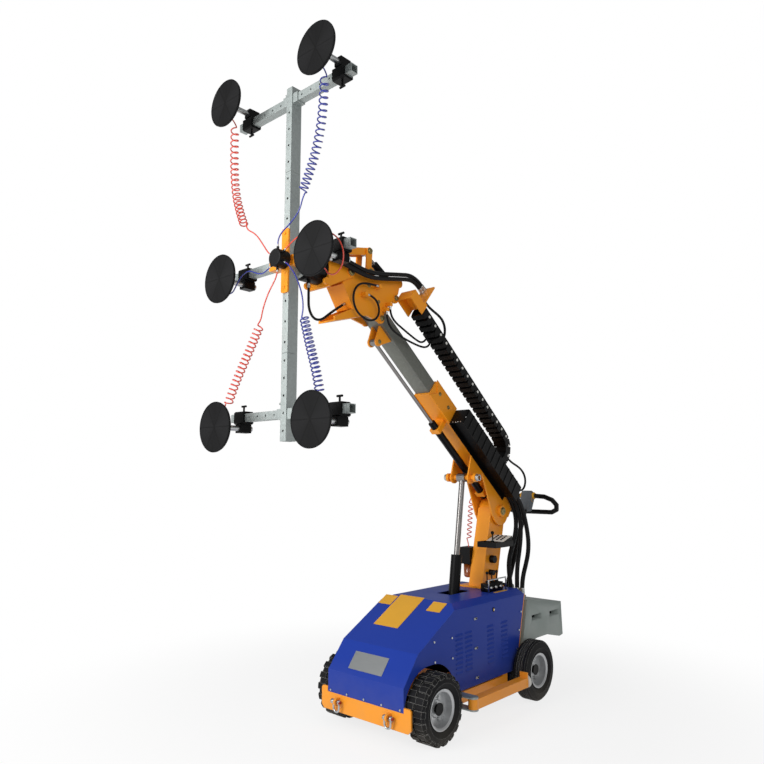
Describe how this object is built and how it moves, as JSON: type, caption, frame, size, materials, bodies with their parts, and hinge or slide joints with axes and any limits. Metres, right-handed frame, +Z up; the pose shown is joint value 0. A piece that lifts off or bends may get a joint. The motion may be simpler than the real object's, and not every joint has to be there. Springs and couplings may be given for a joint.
{
  "type": "glass panel lifter",
  "caption": "battery vacuum glazing lifter: four-wheel base with a blue hood, telescopic orange boom and a turning frame of suction pads",
  "frame": {"origin": "floor level under the middle of the whole machine's box", "axes": "+Z up, -Y the way the machine drives and the pads face, +X its side nearest the camera"},
  "size_m": [1.1398, 2.9458, 4.049],
  "materials": {
    "blue_paint": "gloss powder coat",
    "orange_paint": "gloss powder coat",
    "grey_paint": "cast and painted",
    "black_paint": "satin",
    "silver_paint": "satin wheel paint",
    "galvanised_steel": "spangled zinc",
    "bright_steel": "zinc plated",
    "chrome_rod": "polished",
    "tyre_rubber": "matte",
    "pad_rubber": "matte",
    "hose_rubber": "satin",
    "black_plastic": "moulded",
    "red_tube": "clear-coated polyurethane",
    "blue_tube": "clear-coated polyurethane",
    "yellow_plate": "satin",
    "amber_bowl": "translucent",
    "white_nylon": "satin"
  },
  "bodies": {
    "chassis": {"chassis_frame": "orange_paint", "front_bumper": "orange_paint", "hood": "blue_paint", "blank_plates": "yellow_plate", "hood_bolts": "bright_steel", "battery_pack": "black_plastic", "hydraulic_unit": "black_paint", "counterweight": "grey_paint", "mast": "orange_paint", "axles": "black_paint", "valve_bank": "bright_steel", "mast_controls": "black_plastic", "vacuum_filter": "amber_bowl", "stabiliser_mounts": "orange_paint", "mast_coil": "red_tube", "tail_hoses": "hose_rubber"},
    "boom": {"outer_boom": "orange_paint", "cable_duct": "black_paint", "tele_barrel": "black_paint", "energy_chain": "black_plastic"},
    "boom_inner": {"inner_boom": "galvanised_steel", "boom_head": "orange_paint", "tele_rod": "chrome_rod", "head_hoses": "hose_rubber"},
    "lift_rod_body": {"lift_rod": "chrome_rod"},
    "lift_barrel_body": {"lift_barrel": "black_paint"},
    "rocker": {"rocker_links": "orange_paint"},
    "tilt_link_body": {"tilt_link": "orange_paint"},
    "tilt_rod_body": {"tilt_rod": "chrome_rod"},
    "tilt_barrel_body": {"tilt_barrel": "black_paint"},
    "tilt_head": {"tilt_bracket": "orange_paint", "rotator": "black_paint"},
    "vacuum_frame": {"frame_beam": "galvanised_steel", "centre_bracket": "orange_paint", "manifold": "black_plastic", "cross_tubes": "galvanised_steel", "clamp_blocks": "black_paint", "pad_stems": "bright_steel", "vacuum_pads": "pad_rubber", "red_hoses": "red_tube", "blue_hoses": "blue_tube"},
    "tiller": {"tiller_arm": "black_plastic"},
    "control_stick": {"joystick": "black_plastic"},
    "front_wheel_right": {"front_tyre_right": "tyre_rubber", "front_rim_right": "silver_paint"},
    "rear_wheel_right": {"rear_tyre_right": "tyre_rubber", "rear_rim_right": "silver_paint"},
    "stabiliser_right_arm": {"stabiliser_right": "orange_paint"},
    "roller_right_wheel": {"roller_right": "white_nylon"},
    "shackle_right_bow": {"shackle_right": "bright_steel"},
    "front_wheel_left": {"front_tyre_left": "tyre_rubber", "front_rim_left": "silver_paint"},
    "rear_wheel_left": {"rear_tyre_left": "tyre_rubber", "rear_rim_left": "silver_paint"},
    "stabiliser_left_arm": {"stabiliser_left": "orange_paint"},
    "roller_left_wheel": {"roller_left": "white_nylon"},
    "shackle_left_bow": {"shackle_left": "bright_steel"},
    "valve_lever_1_body": {"valve_lever_1": "black_plastic"},
    "valve_lever_2_body": {"valve_lever_2": "black_plastic"},
    "valve_lever_3_body": {"valve_lever_3": "black_plastic"}
  },
  "joints": [
    {"name": "front_wheel_right_spin", "type": "hinge", "parent": "chassis", "child": "front_wheel_right", "pos_m": [0.37, -0.40194, 0.2025], "axis": [1, 0, 0], "continuous": true},
    {"name": "rear_wheel_right_spin", "type": "hinge", "parent": "chassis", "child": "rear_wheel_right", "pos_m": [0.389, 0.72606, 0.2025], "axis": [1, 0, 0], "continuous": true},
    {"name": "stabiliser_right_swing", "type": "hinge", "parent": "chassis", "child": "stabiliser_right_arm", "pos_m": [0.455, -0.12394, 0.181], "axis": [0, 0, -1], "range_deg": [0, 95]},
    {"name": "roller_right_spin", "type": "hinge", "parent": "stabiliser_right_arm", "child": "roller_right_wheel", "pos_m": [0.455, 0.49756, 0.181], "axis": [0, 1, 0], "continuous": true},
    {"name": "shackle_right_swing", "type": "hinge", "parent": "chassis", "child": "shackle_right_bow", "pos_m": [0.214, -0.64794, 0.172], "axis": [-1, 0, 0], "range_deg": [-12, 80]},
    {"name": "front_wheel_left_spin", "type": "hinge", "parent": "chassis", "child": "front_wheel_left", "pos_m": [-0.37, -0.40194, 0.2025], "axis": [1, 0, 0], "continuous": true},
    {"name": "rear_wheel_left_spin", "type": "hinge", "parent": "chassis", "child": "rear_wheel_left", "pos_m": [-0.389, 0.72606, 0.2025], "axis": [1, 0, 0], "continuous": true},
    {"name": "stabiliser_left_swing", "type": "hinge", "parent": "chassis", "child": "stabiliser_left_arm", "pos_m": [-0.455, -0.12394, 0.181], "axis": [0, 0, 1], "range_deg": [0, 95]},
    {"name": "roller_left_spin", "type": "hinge", "parent": "stabiliser_left_arm", "child": "roller_left_wheel", "pos_m": [-0.455, 0.49756, 0.181], "axis": [0, 1, 0], "continuous": true},
    {"name": "shackle_left_swing", "type": "hinge", "parent": "chassis", "child": "shackle_left_bow", "pos_m": [-0.214, -0.64794, 0.172], "axis": [-1, 0, 0], "range_deg": [-12, 80]},
    {"name": "tiller_tip", "type": "hinge", "parent": "chassis", "child": "tiller", "pos_m": [0, 1.02806, 0.7], "axis": [-1, 0, 0], "range_deg": [-10, 40]},
    {"name": "valve_lever_1_tip", "type": "hinge", "parent": "chassis", "child": "valve_lever_1_body", "pos_m": [0.1725, 0.48106, 0.8125], "axis": [0, 1, 0], "range_deg": [-18, 18], "stiffness_Nm_per_rad": 0.5},
    {"name": "valve_lever_2_tip", "type": "hinge", "parent": "chassis", "child": "valve_lever_2_body", "pos_m": [0.1725, 0.54306, 0.8125], "axis": [0, 1, 0], "range_deg": [-18, 18], "stiffness_Nm_per_rad": 0.5},
    {"name": "valve_lever_3_tip", "type": "hinge", "parent": "chassis", "child": "valve_lever_3_body", "pos_m": [0.1725, 0.60506, 0.8125], "axis": [0, 1, 0], "range_deg": [-18, 18], "stiffness_Nm_per_rad": 0.5},
    {"name": "stick_tip", "type": "hinge", "parent": "chassis", "child": "control_stick", "pos_m": [0.15, 0.59806, 1.0885], "axis": [1, 0, 0], "range_deg": [-18, 18], "stiffness_Nm_per_rad": 0.5},
    {"name": "boom_lift", "type": "hinge", "parent": "chassis", "child": "boom", "pos_m": [0, 0.82306, 1.3], "axis": [-1, 0, 0], "range_deg": [-33, 18], "deforming": ["mast_coil", "tail_hoses"]},
    {"name": "lift_rod_swing", "type": "hinge", "parent": "boom", "child": "lift_rod_body", "pos_m": [0, 0.43686, 1.5577], "axis": [-1, 0, 0], "range_deg": [-16.5, 30]},
    {"name": "lift_stroke", "type": "slide", "parent": "lift_rod_body", "child": "lift_barrel_body", "axis": [0, -0.1513, -0.9885], "range_m": [-0.255, 0.139]},
    {"name": "boom_telescope", "type": "slide", "parent": "boom", "child": "boom_inner", "axis": [0, -0.7727, 0.6347], "range_m": [-0.45, 0.03], "deforming": ["energy_chain"]},
    {"name": "head_tilt", "type": "hinge", "parent": "boom_inner", "child": "tilt_head", "pos_m": [0, -0.85194, 2.838], "axis": [1, 0, 0], "range_deg": [-30, 40], "deforming": ["head_hoses"]},
    {"name": "rocker_swing", "type": "hinge", "parent": "boom_inner", "child": "rocker", "pos_m": [0, -0.64594, 2.884], "axis": [1, 0, 0], "range_deg": [-30.5, 40.5]},
    {"name": "tilt_link_swing", "type": "hinge", "parent": "rocker", "child": "tilt_link_body", "pos_m": [0, -0.63394, 3.035], "axis": [1, 0, 0], "range_deg": [-40.5, 30.5]},
    {"name": "tilt_rod_swing", "type": "hinge", "parent": "rocker", "child": "tilt_rod_body", "pos_m": [0, -0.63394, 3.035], "axis": [1, 0, 0], "range_deg": [-31.5, 23.8]},
    {"name": "tilt_stroke", "type": "slide", "parent": "tilt_rod_body", "child": "tilt_barrel_body", "axis": [0, 0.8515, -0.5243], "range_m": [-0.067, 0.089]},
    {"name": "frame_rotate", "type": "hinge", "parent": "tilt_head", "child": "vacuum_frame", "pos_m": [0, -1.22194, 2.82], "axis": [0, 1, 0], "continuous": true}
  ],
  "couplings": [
    {"joint": "lift_rod_swing", "follows": "boom_lift", "ratio": -0.89},
    {"joint": "lift_stroke", "follows": "boom_lift", "m_per_rad": 0.4383},
    {"joint": "rocker_swing", "follows": "head_tilt", "ratio": 1},
    {"joint": "tilt_link_swing", "follows": "head_tilt", "ratio": -1},
    {"joint": "tilt_rod_swing", "follows": "head_tilt", "ratio": -0.78},
    {"joint": "tilt_stroke", "follows": "head_tilt", "m_per_rad": 0.12605}
  ]
}
